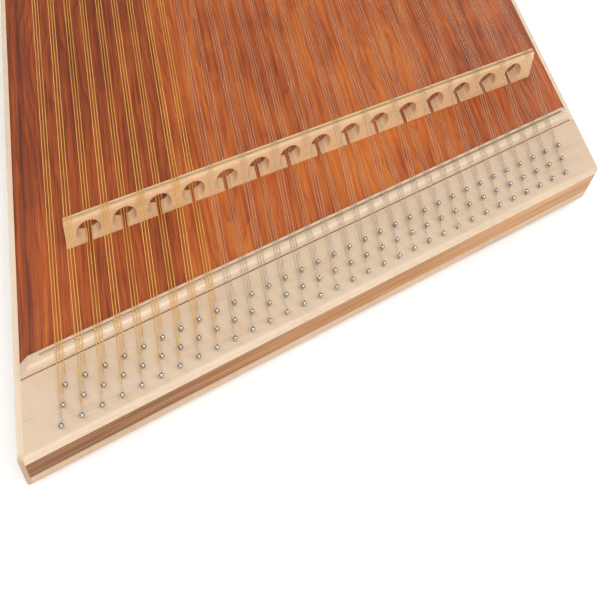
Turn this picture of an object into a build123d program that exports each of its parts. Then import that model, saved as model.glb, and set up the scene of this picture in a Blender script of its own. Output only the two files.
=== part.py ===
from build123d import *
import math
import os

# Chromatic hammered dulcimer (Salzburg Hackbrett): trapezoid body, 32 courses of three strings.
# Millimetres. +X points to the hitch-pin end, +Y to the short treble side, +Z up.
# The origin is under the middle of the body, on the surface that the rubber feet stand on.

os.makedirs("parts", exist_ok=True)

# ---- driving dimensions -------------------------------------------------------------------
LONG_SIDE = 1080.0          # bass side, along X
WIDTH = 533.0               # outside to outside, along Y
END_ANGLE = 68.4            # between the long side and each slanted end, degrees
BODY_HEIGHT = 42.5          # underside of the body to the top of the pin blocks

RIB_THICKNESS = 4.5
CAP_THICKNESS = 6.3         # maple cap on each pin block
BASE_THICKNESS = 13.3       # light strip under each pin block
CAP_WIDTH = 60.5            # slanted outer face to the nut moulding
NUT_WIDTH = 13.3
SOUNDBOARD_THICKNESS = 5.3
BACK_THICKNESS = 4.5
BACK_REBATE = 12.0          # how far the back plate reaches under the pin blocks
CAP_ROUND = 5.0             # slanted end's top edge
BASE_ROUND = 3.5            # slanted end's bottom edge
SIDE_TOP_ROUND = 1.2        # top edge of the body's two long sides
SIDE_BOTTOM_ROUND = 3.0     # bottom edge of the body's two long sides
CORNER_ROUND = 3.0          # upright corners of the body

COURSES = 32
STRINGS_PER_COURSE = 3
COURSE_PITCH = 15.0
FIRST_COURSE_INSET = 37.0   # long side's outer face to the first course's inner pin
STRING_SPACING = 2.45       # from string to string within a course, and between the pin rows
BRONZE_COURSES = 9
BRONZE_DIAMETER = 0.75
STEEL_DIAMETER = 0.45

HITCH_ROW_FROM_FACE = 39.45     # inner hitch-pin row to the slanted face
ROW_STEP = 16.38                # from row to row, along the strings
HITCH_PIN_DIAMETER = 2.2
HITCH_HEAD_DIAMETER = 4.0
HITCH_PIN_STANDS = 6.2
HITCH_PIN_DEPTH = 20.0
STRING_END_HEIGHT = 1.8         # string above the cap where it meets its pin
STRING_GAP = 0.05               # strings clear the rods that they bear on
COIL_GAP = 0.4                  # strings stop short of the coils

NUT_HEIGHT = 7.8                # above the soundboard
NUT_FLAT = 6.5                  # flat strip on its top, beside the soundboard
NUT_ROD_DIAMETER = 2.2
NUT_ROD_FROM_JOINT = 9.3        # across the nut, from the cap
NUT_ROD_SINK = 0.3
NUT_ROD_START_INSET = 17.0      # how far the rod runs on past the first and last courses
NUT_END_BEVEL = 7.0             # length of the slope at each end, beside the rib

BRIDGE_ANGLE = 18.45            # bridge to the Y axis, degrees
BRIDGE_FROM_INNER_ROW = 132.9   # along course 1, inner pin to the bridge's middle
BRIDGE_HEIGHT = 25.4
BRIDGE_FRONT_FOOT = 9.2         # middle line to the sloping face's foot, on the nut's side
BRIDGE_BACK_FOOT = 4.4          # middle line to the steep face's foot
BRIDGE_BACK_TOP = 3.3           # middle line to the steep face's top
BRIDGE_CHAMFER_HIGH = 2.9       # middle line to the chamfer's upper edge
BRIDGE_CHAMFER_LOW = 3.9        # middle line to the chamfer's lower edge
BRIDGE_CHAMFER_DROP = 1.4
BRIDGE_HOLE_DIAMETER = 20.2
BRIDGE_HOLE_HEIGHT = 11.2       # centre above the soundboard
BRIDGE_KERF = 3.0
BRIDGE_ROD_DIAMETER = 1.8
BRIDGE_ROD_SINK = 0.2
BRIDGE_BASS_MARGIN = 1.5        # end of the bridge past its outermost string
BRIDGE_TREBLE_MARGIN = 6.0

TUNING_PIN_DIAMETER = 5.0
TUNING_PIN_STANDS = 20.0
TUNING_PIN_DEPTH = 24.0
TUNING_PIN_SQUARE = 4.4         # across the flats at the shoulder
TUNING_PIN_TIP = 3.6            # across the flats at the tip
TUNING_PIN_SQUARE_HEIGHT = 12.0
TUNING_PIN_CHAMFER = 0.8        # around its lower end
STRING_HOLE_DIAMETER = 1.2      # through the tuning pin
STRING_HOLE_CLEARANCE = 1.2     # its centre above the coil
TURNING_CLEARANCE = 0.05        # around each pin that turns
TURNING_COURSES = 4             # courses whose tuning pins are separate, turning pieces
COIL_LOW = 2.0                  # bottom of the string coil above the cap
COIL_TURNS = 4

LINING_WIDTH = 10.0
LINING_HEIGHT = 16.0
BACK_LINING_HEIGHT = 10.0
SOUNDBOARD_BAR_WIDTH = 12.0
SOUNDBOARD_BAR_HEIGHT = 15.0
BACK_BAR_WIDTH = 14.0
BACK_BAR_HEIGHT = 9.0
BACK_BAR_PITCH = 210.0
ROSETTE_BAR_X = 70.0

SOUND_HOLE_DIAMETER = 76.0
ROSETTE_RING_WIDTH = 4.0
ROSETTE_RING_DEPTH = 2.0
ROSETTE_THICKNESS = 3.0
ROSETTE_DROP = 0.8              # rosette's face below the soundboard's face
ROSETTE_PETALS = 8
ROSETTE_LEDGE = 3.0             # solid rim of the rosette
PETAL_INNER = 11.4              # middle of the rosette to the petal holes' inner ends
PETAL_HALF_WIDTH = 7.2
RIM_HOLE_DISTANCE = 30.4        # small round holes between the petals
RIM_HOLE_RADIUS = 3.2
HUB_HOLE_DISTANCE = 6.5         # small round holes in the middle
HUB_HOLE_RADIUS = 2.7

FOOT_HEIGHT = 6.0
FOOT_DIAMETER = 20.0
FOOT_INSET = 34.0
FOOT_SCREW_DIAMETER = 3.5
FOOT_SCREW_HEAD = 7.0
FOOT_SCREW_LENGTH = 16.0
FOOT_RECESS = 3.0               # depth of the screw's recess in the foot
FOOT_TAPER = 1.2                # narrowing of the foot's radius towards the ground
SCREW_SLOT_LENGTH = 4.9
SCREW_SLOT_WIDTH = 0.8
SCREW_SLOT_BOTTOM = 2.4

# ---- worked out ---------------------------------------------------------------------------
SLANT = math.radians(90 - END_ANGLE)
HALF_LONG = LONG_SIDE / 2
HALF_WIDTH = WIDTH / 2
BLOCK_WIDTH = CAP_WIDTH + NUT_WIDTH
CORE_HEIGHT = BODY_HEIGHT - CAP_THICKNESS - BASE_THICKNESS

Z_BOTTOM = FOOT_HEIGHT
Z_BACK_TOP = Z_BOTTOM + BACK_THICKNESS
Z_CORE = Z_BOTTOM + BASE_THICKNESS
Z_CAP = Z_CORE + CORE_HEIGHT
Z_TOP = Z_CAP + CAP_THICKNESS
Z_SOUNDBOARD = Z_CAP + SOUNDBOARD_THICKNESS

INNER_Y = HALF_WIDTH - RIB_THICKNESS
FIRST_Y = -HALF_WIDTH + FIRST_COURSE_INSET
BRIDGE_SLANT = math.radians(BRIDGE_ANGLE)


def end_x(y, depth):
    """X on the line that runs parallel to the hitch end's slanted face, depth mm inside it."""
    return HALF_LONG - (y + HALF_WIDTH) * math.tan(SLANT) - depth / math.cos(SLANT)


INNER_ROW_X = end_x(FIRST_Y, HITCH_ROW_FROM_FACE)
BRIDGE_X = INNER_ROW_X - BRIDGE_FROM_INNER_ROW


def course_y(course):
    """Y of a course's inner pin; course 1 is the lowest."""
    return FIRST_Y + COURSE_PITCH * (course - 1)


def string_y(course, string):
    """Y of a string and of its pins; string 0 is on the course's treble side, at the inner row."""
    return course_y(course) - STRING_SPACING * string


def string_radius(course):
    return (BRONZE_DIAMETER if course <= BRONZE_COURSES else STEEL_DIAMETER) / 2


def row_point(course, row):
    """Plan position of a pin at the hitch end; row 0 is the inner row."""
    inner_x = end_x(course_y(course), HITCH_ROW_FROM_FACE)
    return inner_x + ROW_STEP * row, string_y(course, row)


def tuning_point(course, row):
    """Plan position of a tuning pin: beside its string, so that the string meets it as a tangent."""
    x, _ = row_point(course, row)
    offset = TUNING_PIN_DIAMETER / 2 + string_radius(course)
    return -x, string_y(course, row) + offset


def bridge_x(y):
    """X of the hitch-side bridge's middle line."""
    return BRIDGE_X - (y - FIRST_Y) * math.tan(BRIDGE_SLANT)


def nut_rod_x(y):
    return end_x(y, CAP_WIDTH + NUT_ROD_FROM_JOINT)


def strip(outer, inner, low_y, high_y):
    """Corners of a strip along the hitch end, between two depths and two Y values."""
    return [
        (end_x(low_y, outer), low_y),
        (end_x(high_y, outer), high_y),
        (end_x(high_y, inner), high_y),
        (end_x(low_y, inner), low_y),
    ]


def trapezoid(depth, low_y, high_y):
    """Corners of an outline that both slanted ends close, depth mm inside their faces."""
    low_x = end_x(low_y, depth)
    high_x = end_x(high_y, depth)
    return [(-low_x, low_y), (low_x, low_y), (high_x, high_y), (-high_x, high_y)]


def plate(name, corners, low_z, thickness):
    """A flat wooden piece: its outline's corners, the height of its underside, its thickness."""
    with BuildPart() as piece:
        with BuildSketch(Plane.XY.offset(low_z)):
            with BuildLine():
                Polyline(*corners, close=True)
            make_face()
        extrude(amount=thickness)
    piece.part.label = name
    return piece.part


def mirrored(name, original):
    """The same piece at the tuning end."""
    with BuildPart() as piece:
        add(mirror(original, about=Plane.YZ, mode=Mode.PRIVATE))
    piece.part.label = name
    return piece.part


def write(part, name):
    part.label = name
    export_step(part, f"parts/{name}.step")


# ---- edge rounding of the whole body ------------------------------------------------------
across_end = Vector(-math.cos(SLANT), -math.sin(SLANT), 0)      # inwards from the slanted face
along_end = Vector(-math.sin(SLANT), math.cos(SLANT), 0)        # from the long rib to the short one
WASTE_MARGIN = 1.0
WASTE_REACH = 50.0


def corner_waste(radius, side, upwards):
    """Section of what a rounded edge takes away; the edge is at the origin of the sketch."""
    reach = radius + WASTE_MARGIN
    middle = (radius - WASTE_MARGIN) / 2
    with BuildSketch() as section:
        with Locations((side * middle, -upwards * middle)):
            Rectangle(reach, reach)
        with Locations((side * radius, -upwards * radius)):
            Circle(radius, mode=Mode.SUBTRACT)
    return section.sketch


def end_waste(radius, z, upwards):
    """What the rounded top or bottom edge of the hitch end's slanted face takes away."""
    start = Vector(HALF_LONG, -HALF_WIDTH, z) - along_end * WASTE_REACH
    with BuildPart() as waste:
        with BuildSketch(Plane(start, x_dir=across_end, z_dir=along_end)):
            add(corner_waste(radius, 1, upwards))
        extrude(amount=WIDTH / math.cos(SLANT) + 2 * WASTE_REACH)
    return waste.part


def side_waste(radius, y, z, upwards):
    """What the rounded top or bottom edge of a long side takes away."""
    inwards = -1 if y > 0 else 1
    with BuildPart() as waste:
        with BuildSketch(Plane((0, y, z), x_dir=(0, 1, 0), z_dir=(1, 0, 0))):
            add(corner_waste(radius, inwards, upwards))
        extrude(amount=HALF_LONG + WASTE_REACH, both=True)
    return waste.part


END_TOP = end_waste(CAP_ROUND, Z_TOP, 1)
END_BOTTOM = end_waste(BASE_ROUND, Z_BOTTOM, -1)
SIDE_TOPS = {side: side_waste(SIDE_TOP_ROUND, side * HALF_WIDTH, Z_TOP, 1) for side in (-1, 1)}
SIDE_BOTTOMS = {side: side_waste(SIDE_BOTTOM_ROUND, side * HALF_WIDTH, Z_BOTTOM, -1) for side in (-1, 1)}


def shaped(name, corners, rounded, low_z, thickness, wastes):
    """A flat piece whose outline is rounded at some corners, less what its rounded edges lose."""
    with BuildPart() as piece:
        with BuildSketch(Plane.XY.offset(low_z)):
            with BuildLine():
                Polyline(*corners, close=True)
            outline = make_face()
            for corner in rounded:
                nearest = outline.vertices().sort_by_distance(Vector(*corner, low_z))[0]
                outline = fillet(nearest, radius=CORNER_ROUND)
        extrude(amount=thickness)
        for waste in wastes:
            add(waste, mode=Mode.SUBTRACT)
    piece.part.label = name
    return piece.part


# ---- ribs ---------------------------------------------------------------------------------
def across_mirrored(part):
    return mirror(part, about=Plane.YZ, mode=Mode.PRIVATE)


long_rib_ends = [(end_x(-HALF_WIDTH, 0), -HALF_WIDTH), (-end_x(-HALF_WIDTH, 0), -HALF_WIDTH)]
long_rib = shaped(
    "long_rib",
    [long_rib_ends[1], long_rib_ends[0], (end_x(-INNER_Y, 0), -INNER_Y), (-end_x(-INNER_Y, 0), -INNER_Y)],
    long_rib_ends,
    Z_BOTTOM,
    BODY_HEIGHT,
    [
        END_TOP,
        END_BOTTOM,
        across_mirrored(END_TOP),
        across_mirrored(END_BOTTOM),
        SIDE_TOPS[-1],
        SIDE_BOTTOMS[-1],
    ],
)
short_rib_corners = [
    (-end_x(INNER_Y, CAP_WIDTH), INNER_Y),
    (end_x(INNER_Y, CAP_WIDTH), INNER_Y),
    (end_x(HALF_WIDTH, CAP_WIDTH), HALF_WIDTH),
    (-end_x(HALF_WIDTH, CAP_WIDTH), HALF_WIDTH),
]
short_rib = shaped("short_rib", short_rib_corners, [], Z_BOTTOM, BODY_HEIGHT, [SIDE_TOPS[1], SIDE_BOTTOMS[1]])
write(long_rib, "long_rib")
write(short_rib, "short_rib")

# ---- pin blocks: core, cap and base strip -------------------------------------------------
ALL_PINS = [(course, row) for course in range(1, COURSES + 1) for row in range(STRINGS_PER_COURSE)]
TURNING_PINS = [pin for pin in ALL_PINS if pin[0] <= TURNING_COURSES]
SET_PINS = [pin for pin in ALL_PINS if pin[0] > TURNING_COURSES]
HITCH_POINTS = [row_point(*pin) for pin in ALL_PINS]
foot_y = HALF_WIDTH - FOOT_INSET
HITCH_END_FEET = [(end_x(y, 0) - FOOT_INSET, y) for y in (-foot_y, foot_y)]
FEET = HITCH_END_FEET + [(-x, y) for x, y in HITCH_END_FEET]


def drilled(part, points, diameter, low_z, high_z):
    """A block piece with an upright hole at each point."""
    with BuildPart() as piece:
        add(part)
        with BuildSketch(Plane.XY.offset(low_z)):
            with Locations(*points):
                Circle(diameter / 2)
        extrude(amount=high_z - low_z, mode=Mode.SUBTRACT)
    return piece.part


TREBLE_CORNER = (end_x(HALF_WIDTH, 0), HALF_WIDTH)
# The core and the base reach under the nut; the short rib is let into their treble end.
BLOCK_CORNERS = [
    (end_x(-INNER_Y, 0), -INNER_Y),
    TREBLE_CORNER,
    (end_x(HALF_WIDTH, CAP_WIDTH), HALF_WIDTH),
    (end_x(INNER_Y, CAP_WIDTH), INNER_Y),
    (end_x(INNER_Y, BLOCK_WIDTH), INNER_Y),
    (end_x(-INNER_Y, BLOCK_WIDTH), -INNER_Y),
]
CAP_CORNERS = strip(0, CAP_WIDTH, -INNER_Y, HALF_WIDTH)

plain_cap = shaped("cap", CAP_CORNERS, [TREBLE_CORNER], Z_CAP, CAP_THICKNESS, [END_TOP, SIDE_TOPS[1]])
plain_core = shaped("core", BLOCK_CORNERS, [TREBLE_CORNER], Z_CORE, CORE_HEIGHT, [])
base_wastes = [END_BOTTOM, SIDE_BOTTOMS[1]]
plain_base = shaped("base", BLOCK_CORNERS, [TREBLE_CORNER], Z_BOTTOM, BASE_THICKNESS, base_wastes)

with BuildPart() as hitch_block_base:
    add(plain_base)
    with BuildSketch(Plane.XY.offset(Z_BOTTOM)):
        with BuildLine():
            rebate_edge = BLOCK_WIDTH + WASTE_MARGIN
            Polyline(*strip(BLOCK_WIDTH - BACK_REBATE, rebate_edge, -INNER_Y, INNER_Y), close=True)
        make_face()
    extrude(amount=BACK_THICKNESS, mode=Mode.SUBTRACT)
    with BuildSketch(Plane.XY.offset(Z_BOTTOM)):
        with Locations(*HITCH_END_FEET):
            Circle(FOOT_SCREW_DIAMETER / 2)
    extrude(amount=FOOT_SCREW_LENGTH - FOOT_HEIGHT, mode=Mode.SUBTRACT)

HITCH_HOLE_BOTTOM = Z_TOP - HITCH_PIN_DEPTH
hitch_block_cap = drilled(plain_cap, HITCH_POINTS, HITCH_PIN_DIAMETER, HITCH_HOLE_BOTTOM, Z_TOP)
hitch_block_core = drilled(plain_core, HITCH_POINTS, HITCH_PIN_DIAMETER, HITCH_HOLE_BOTTOM, Z_TOP)

TUNING_HOLE_BOTTOM = Z_TOP - TUNING_PIN_DEPTH
SET_POINTS = [tuning_point(*pin) for pin in SET_PINS]
TURNING_POINTS = [tuning_point(*pin) for pin in TURNING_PINS]
TURNING_HOLE = TUNING_PIN_DIAMETER + 2 * TURNING_CLEARANCE


def tuning_drilled(name, plain):
    """A tuning-end block piece, drilled tight for the set pins and free for the turning ones."""
    tight = drilled(mirrored(name, plain), SET_POINTS, TUNING_PIN_DIAMETER, TUNING_HOLE_BOTTOM, Z_TOP)
    floor = TUNING_HOLE_BOTTOM - TURNING_CLEARANCE
    return drilled(tight, TURNING_POINTS, TURNING_HOLE, floor, Z_TOP)


tuning_block_cap = tuning_drilled("tuning_block_cap", plain_cap)
tuning_block_core = tuning_drilled("tuning_block_core", plain_core)

write(hitch_block_cap, "hitch_block_cap")
write(hitch_block_core, "hitch_block_core")
write(hitch_block_base.part, "hitch_block_base")
write(tuning_block_cap, "tuning_block_cap")
write(tuning_block_core, "tuning_block_core")
write(mirrored("tuning_block_base", hitch_block_base.part), "tuning_block_base")

# ---- back plate, linings and bars ---------------------------------------------------------
back_corners = trapezoid(BLOCK_WIDTH - BACK_REBATE, -INNER_Y, INNER_Y)
back_plate = plate("back_plate", back_corners, Z_BOTTOM, BACK_THICKNESS)
write(back_plate, "back_plate")

lining_y = INNER_Y - LINING_WIDTH
long_side_strip = trapezoid(BLOCK_WIDTH, -INNER_Y, -lining_y)
short_side_strip = trapezoid(BLOCK_WIDTH, lining_y, INNER_Y)
top_lining_z = Z_CAP - LINING_HEIGHT

write(plate("", long_side_strip, top_lining_z, LINING_HEIGHT), "long_top_lining")
write(plate("", short_side_strip, top_lining_z, LINING_HEIGHT), "short_top_lining")
write(plate("", long_side_strip, Z_BACK_TOP, BACK_LINING_HEIGHT), "long_back_lining")
write(plate("", short_side_strip, Z_BACK_TOP, BACK_LINING_HEIGHT), "short_back_lining")


def bar_corners(middle_x, width):
    """Plan of a bar from lining to lining; middle_x gives its middle line's X at a Y."""
    return [
        (middle_x(y) + side * width / 2, y)
        for y, side in ((-lining_y, -1), (-lining_y, 1), (lining_y, 1), (lining_y, -1))
    ]


SOUNDBOARD_BARS = [
    bridge_x,
    lambda y: ROSETTE_BAR_X,
    lambda y: -ROSETTE_BAR_X,
    lambda y: -bridge_x(y),
]
BACK_BARS = [lambda y, x=x: x for x in (-BACK_BAR_PITCH, 0, BACK_BAR_PITCH)]


def bars(name, middle_lines, width, low_z, height):
    """A set of parallel-sided bars glued across the inside of the body."""
    with BuildPart() as pieces:
        with BuildSketch(Plane.XY.offset(low_z)):
            for middle_x in middle_lines:
                with BuildLine():
                    Polyline(*bar_corners(middle_x, width), close=True)
                make_face()
        extrude(amount=height)
    pieces.part.label = name
    return pieces.part


bar_width = SOUNDBOARD_BAR_WIDTH
bar_height = SOUNDBOARD_BAR_HEIGHT
write(bars("", SOUNDBOARD_BARS, bar_width, Z_CAP - bar_height, bar_height), "soundboard_bars")
write(bars("", BACK_BARS, BACK_BAR_WIDTH, Z_BACK_TOP, BACK_BAR_HEIGHT), "back_bars")

# ---- soundboard and rosette ---------------------------------------------------------------
ring_diameter = SOUND_HOLE_DIAMETER + 2 * ROSETTE_RING_WIDTH

with BuildPart() as soundboard:
    with BuildSketch(Plane.XY.offset(Z_CAP)):
        with BuildLine():
            Polyline(*trapezoid(CAP_WIDTH, -INNER_Y, INNER_Y), close=True)
        make_face()
        Circle(SOUND_HOLE_DIAMETER / 2, mode=Mode.SUBTRACT)
    extrude(amount=SOUNDBOARD_THICKNESS)
    with BuildSketch(Plane.XY.offset(Z_SOUNDBOARD - ROSETTE_RING_DEPTH)):
        Circle(ring_diameter / 2)
    extrude(amount=ROSETTE_RING_DEPTH, mode=Mode.SUBTRACT)
write(soundboard.part, "soundboard")

with BuildPart() as rosette_ring:
    with BuildSketch(Plane.XY.offset(Z_SOUNDBOARD - ROSETTE_RING_DEPTH)):
        Circle(ring_diameter / 2)
        Circle(SOUND_HOLE_DIAMETER / 2, mode=Mode.SUBTRACT)
    extrude(amount=ROSETTE_RING_DEPTH)
write(rosette_ring.part, "rosette_ring")

with BuildPart() as rosette:
    rosette_radius = SOUND_HOLE_DIAMETER / 2
    petal_outer = rosette_radius - ROSETTE_LEDGE
    petal_middle = (petal_outer + PETAL_INNER) / 2
    with BuildSketch(Plane.XY.offset(Z_SOUNDBOARD - ROSETTE_DROP - ROSETTE_THICKNESS)):
        Circle(rosette_radius)
        with PolarLocations(petal_middle, ROSETTE_PETALS):
            Ellipse((petal_outer - PETAL_INNER) / 2, PETAL_HALF_WIDTH, mode=Mode.SUBTRACT)
        with PolarLocations(RIM_HOLE_DISTANCE, ROSETTE_PETALS, start_angle=180 / ROSETTE_PETALS):
            Circle(RIM_HOLE_RADIUS, mode=Mode.SUBTRACT)
        with PolarLocations(HUB_HOLE_DISTANCE, ROSETTE_PETALS // 2):
            Circle(HUB_HOLE_RADIUS, mode=Mode.SUBTRACT)
    extrude(amount=ROSETTE_THICKNESS)
write(rosette.part, "rosette")

# ---- nut mouldings and their rods ---------------------------------------------------------
nut_start = Vector(end_x(-INNER_Y, CAP_WIDTH), -INNER_Y, Z_SOUNDBOARD)
nut_end = Vector(end_x(INNER_Y, CAP_WIDTH), INNER_Y, Z_SOUNDBOARD)
nut_run = (nut_end - nut_start).length
NUT_JOINT_HEIGHT = Z_TOP - Z_SOUNDBOARD

rod_start_y = FIRST_Y - NUT_ROD_START_INSET
rod_end_y = course_y(COURSES) + NUT_ROD_START_INSET
NUT_ROD_Z = Z_SOUNDBOARD + NUT_HEIGHT - NUT_ROD_SINK
rod_start = Vector(nut_rod_x(rod_start_y), rod_start_y, NUT_ROD_Z)
rod_length = (rod_end_y - rod_start_y) / math.cos(SLANT)

with BuildPart() as hitch_nut_rod:
    with BuildSketch(Plane(rod_start, x_dir=across_end, z_dir=along_end)):
        Circle(NUT_ROD_DIAMETER / 2)
    extrude(amount=rod_length)

nut_plane = Plane(nut_start - along_end * WASTE_REACH, x_dir=across_end, z_dir=along_end)
with BuildPart() as hitch_nut:
    with BuildSketch(nut_plane):
        with BuildLine():
            foot_line = Line((0, 0), (NUT_WIDTH, 0))
            inner_line = Line(foot_line @ 1, (NUT_WIDTH, NUT_HEIGHT))
            Line(inner_line @ 1, (NUT_WIDTH - NUT_FLAT, NUT_HEIGHT))
            EllipticalCenterArc(
                (NUT_WIDTH - NUT_FLAT, NUT_JOINT_HEIGHT),
                NUT_WIDTH - NUT_FLAT,
                NUT_HEIGHT - NUT_JOINT_HEIGHT,
                start_angle=90,
                arc_size=90,
            )
            Line((0, NUT_JOINT_HEIGHT), (0, 0))
        make_face()
    extrude(amount=nut_run + 2 * WASTE_REACH)
    split(bisect_by=Plane.XZ.offset(INNER_Y), keep=Keep.BOTTOM)
    split(bisect_by=Plane.XZ.offset(-INNER_Y), keep=Keep.TOP)
    add(hitch_nut_rod.part, mode=Mode.SUBTRACT)


def nut_bevel(side):
    """The wedge cut off one end of the nut, so that it slopes down to the rib."""
    rib_y = side * INNER_Y
    slope_y = side * (INNER_Y - NUT_END_BEVEL)
    clear_z = Z_SOUNDBOARD + NUT_HEIGHT + WASTE_MARGIN
    with BuildPart() as wedge:
        with BuildSketch(Plane((0, 0, 0), x_dir=(0, 1, 0), z_dir=(1, 0, 0))):
            with BuildLine():
                Polyline(
                    (rib_y, Z_TOP),
                    (slope_y, Z_SOUNDBOARD + NUT_HEIGHT),
                    (slope_y, clear_z),
                    (rib_y, clear_z),
                    close=True,
                )
            make_face()
        extrude(amount=HALF_LONG)
    return wedge.part


with BuildPart() as hitch_nut_moulding:
    add(hitch_nut.part)
    add(nut_bevel(-1), mode=Mode.SUBTRACT)
    add(nut_bevel(1), mode=Mode.SUBTRACT)

write(hitch_nut_moulding.part, "hitch_nut_moulding")
write(hitch_nut_rod.part, "hitch_nut_rod")
write(mirrored("tuning_nut_moulding", hitch_nut_moulding.part), "tuning_nut_moulding")
write(mirrored("tuning_nut_rod", hitch_nut_rod.part), "tuning_nut_rod")

# ---- bridges and their rods ---------------------------------------------------------------
Z_BRIDGE_ROD = Z_SOUNDBOARD + BRIDGE_HEIGHT - BRIDGE_ROD_SINK
MIDDLE_STRING = 1
LAST_STRING = STRINGS_PER_COURSE - 1


def bridge_pieces(name, first_course, last_course):
    """A bridge that carries every second course and lets the others pass through its holes."""
    bass_y = string_y(first_course, LAST_STRING) - BRIDGE_BASS_MARGIN
    treble_y = string_y(last_course, 0) + BRIDGE_TREBLE_MARGIN
    far_y = treble_y + WASTE_REACH
    near_y = bass_y - WASTE_REACH
    start = Vector(bridge_x(far_y), far_y, Z_SOUNDBOARD)
    run = (far_y - near_y) / math.cos(BRIDGE_SLANT)
    x_dir = Vector(math.cos(BRIDGE_SLANT), math.sin(BRIDGE_SLANT), 0)
    z_dir = Vector(math.sin(BRIDGE_SLANT), -math.cos(BRIDGE_SLANT), 0)
    section = Plane(start, x_dir=x_dir, z_dir=z_dir)
    hole_ys = [string_y(c, MIDDLE_STRING) for c in range(first_course + 1, last_course, 2)]

    with BuildPart() as rod:
        with BuildSketch(section):
            with Locations((0, BRIDGE_HEIGHT - BRIDGE_ROD_SINK)):
                Circle(BRIDGE_ROD_DIAMETER / 2)
        extrude(amount=run)
        split(bisect_by=Plane.XZ.offset(-treble_y), keep=Keep.TOP)
        split(bisect_by=Plane.XZ.offset(-bass_y), keep=Keep.BOTTOM)

    with BuildPart() as bridge:
        with BuildSketch(section):
            with BuildLine():
                Polyline(
                    (-BRIDGE_BACK_FOOT, 0),
                    (BRIDGE_FRONT_FOOT, 0),
                    (BRIDGE_CHAMFER_LOW, BRIDGE_HEIGHT - BRIDGE_CHAMFER_DROP),
                    (BRIDGE_CHAMFER_HIGH, BRIDGE_HEIGHT),
                    (-BRIDGE_BACK_TOP, BRIDGE_HEIGHT),
                    close=True,
                )
            make_face()
        extrude(amount=run)
        split(bisect_by=Plane.XZ.offset(-treble_y), keep=Keep.TOP)
        split(bisect_by=Plane.XZ.offset(-bass_y), keep=Keep.BOTTOM)
        with BuildSketch(Plane.YZ):
            with Locations(*[(y, Z_SOUNDBOARD + BRIDGE_HOLE_HEIGHT) for y in hole_ys]):
                Circle(BRIDGE_HOLE_DIAMETER / 2)
            with Locations(*[(y, Z_SOUNDBOARD + BRIDGE_HOLE_HEIGHT / 2) for y in hole_ys]):
                Rectangle(BRIDGE_KERF, BRIDGE_HOLE_HEIGHT)
        extrude(amount=HALF_LONG, both=True, mode=Mode.SUBTRACT)
        add(rod.part, mode=Mode.SUBTRACT)
    return bridge.part, rod.part


hitch_bridge, hitch_bridge_rod = bridge_pieces("hitch_bridge", 2, COURSES)
write(hitch_bridge, "hitch_bridge")
write(hitch_bridge_rod, "hitch_bridge_rod")

plain_bridge, plain_rod = bridge_pieces("tuning_bridge", 1, COURSES - 1)
write(mirrored("", plain_bridge), "tuning_bridge")
write(mirrored("", plain_rod), "tuning_bridge_rod")

# ---- hitch pins ---------------------------------------------------------------------------
shaft_radius = HITCH_PIN_DIAMETER / 2
head_radius = HITCH_HEAD_DIAMETER / 2
neck_z = HITCH_PIN_STANDS - 1.5 * head_radius

with BuildPart() as hitch_pin:
    with BuildSketch(Plane.XZ):
        with BuildLine():
            point = Line((0, -HITCH_PIN_DEPTH), (shaft_radius, 2 * shaft_radius - HITCH_PIN_DEPTH))
            shaft = Line(point @ 1, (shaft_radius, neck_z))
            Line(shaft @ 1, (head_radius, HITCH_PIN_STANDS - head_radius))
            CenterArc((0, HITCH_PIN_STANDS - head_radius), head_radius, start_angle=0, arc_size=90)
            Line((0, HITCH_PIN_STANDS), (0, -HITCH_PIN_DEPTH))
        make_face()
    revolve(axis=Axis.Z)

with BuildPart() as hitch_pins:
    with Locations(*[(x, y, Z_TOP) for x, y in HITCH_POINTS]):
        add(hitch_pin.part)
write(hitch_pins.part, "hitch_pins")

# ---- tuning pins and the string coils on them ---------------------------------------------
pin_radius = TUNING_PIN_DIAMETER / 2
square_z = TUNING_PIN_STANDS - TUNING_PIN_SQUARE_HEIGHT
string_hole_z = COIL_LOW + COIL_TURNS * BRONZE_DIAMETER + STRING_HOLE_CLEARANCE

with BuildPart() as tuning_pin:
    with BuildSketch(Plane.XY.offset(-TUNING_PIN_DEPTH)):
        Circle(pin_radius)
    extrude(amount=TUNING_PIN_DEPTH + square_z)
    chamfer(tuning_pin.edges().sort_by(Axis.Z)[0], length=TUNING_PIN_CHAMFER)
    with BuildSketch(Plane.XY.offset(square_z)):
        Rectangle(TUNING_PIN_SQUARE, TUNING_PIN_SQUARE)
        Circle(pin_radius, mode=Mode.INTERSECT)
    with BuildSketch(Plane.XY.offset(TUNING_PIN_STANDS)):
        Rectangle(TUNING_PIN_TIP, TUNING_PIN_TIP)
        Circle(pin_radius * TUNING_PIN_TIP / TUNING_PIN_SQUARE, mode=Mode.INTERSECT)
    loft()
    with Locations(Plane((0, 0, string_hole_z), z_dir=(1, 0, 0))):
        Hole(STRING_HOLE_DIAMETER / 2)


def coil(course):
    """The closed outer shape of a string wound round its tuning pin."""
    wire = 2 * string_radius(course)
    with BuildPart() as sleeve:
        with BuildSketch(Plane.XY.offset(COIL_LOW)):
            Circle(pin_radius + wire)
            Circle(pin_radius, mode=Mode.SUBTRACT)
        extrude(amount=COIL_TURNS * wire)
    return sleeve.part


def stood(part, pins):
    """Copies of a piece on the tuning block, at these pins' places."""
    with BuildPart() as pieces:
        with Locations(*[(*tuning_point(*pin), Z_TOP) for pin in pins]):
            add(part)
    return pieces.part


write(stood(tuning_pin.part, SET_PINS), "tuning_pins")
write(stood(coil(1), [pin for pin in SET_PINS if pin[0] <= BRONZE_COURSES]), "bronze_coils")
write(stood(coil(COURSES), [pin for pin in SET_PINS if pin[0] > BRONZE_COURSES]), "steel_coils")

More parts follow.
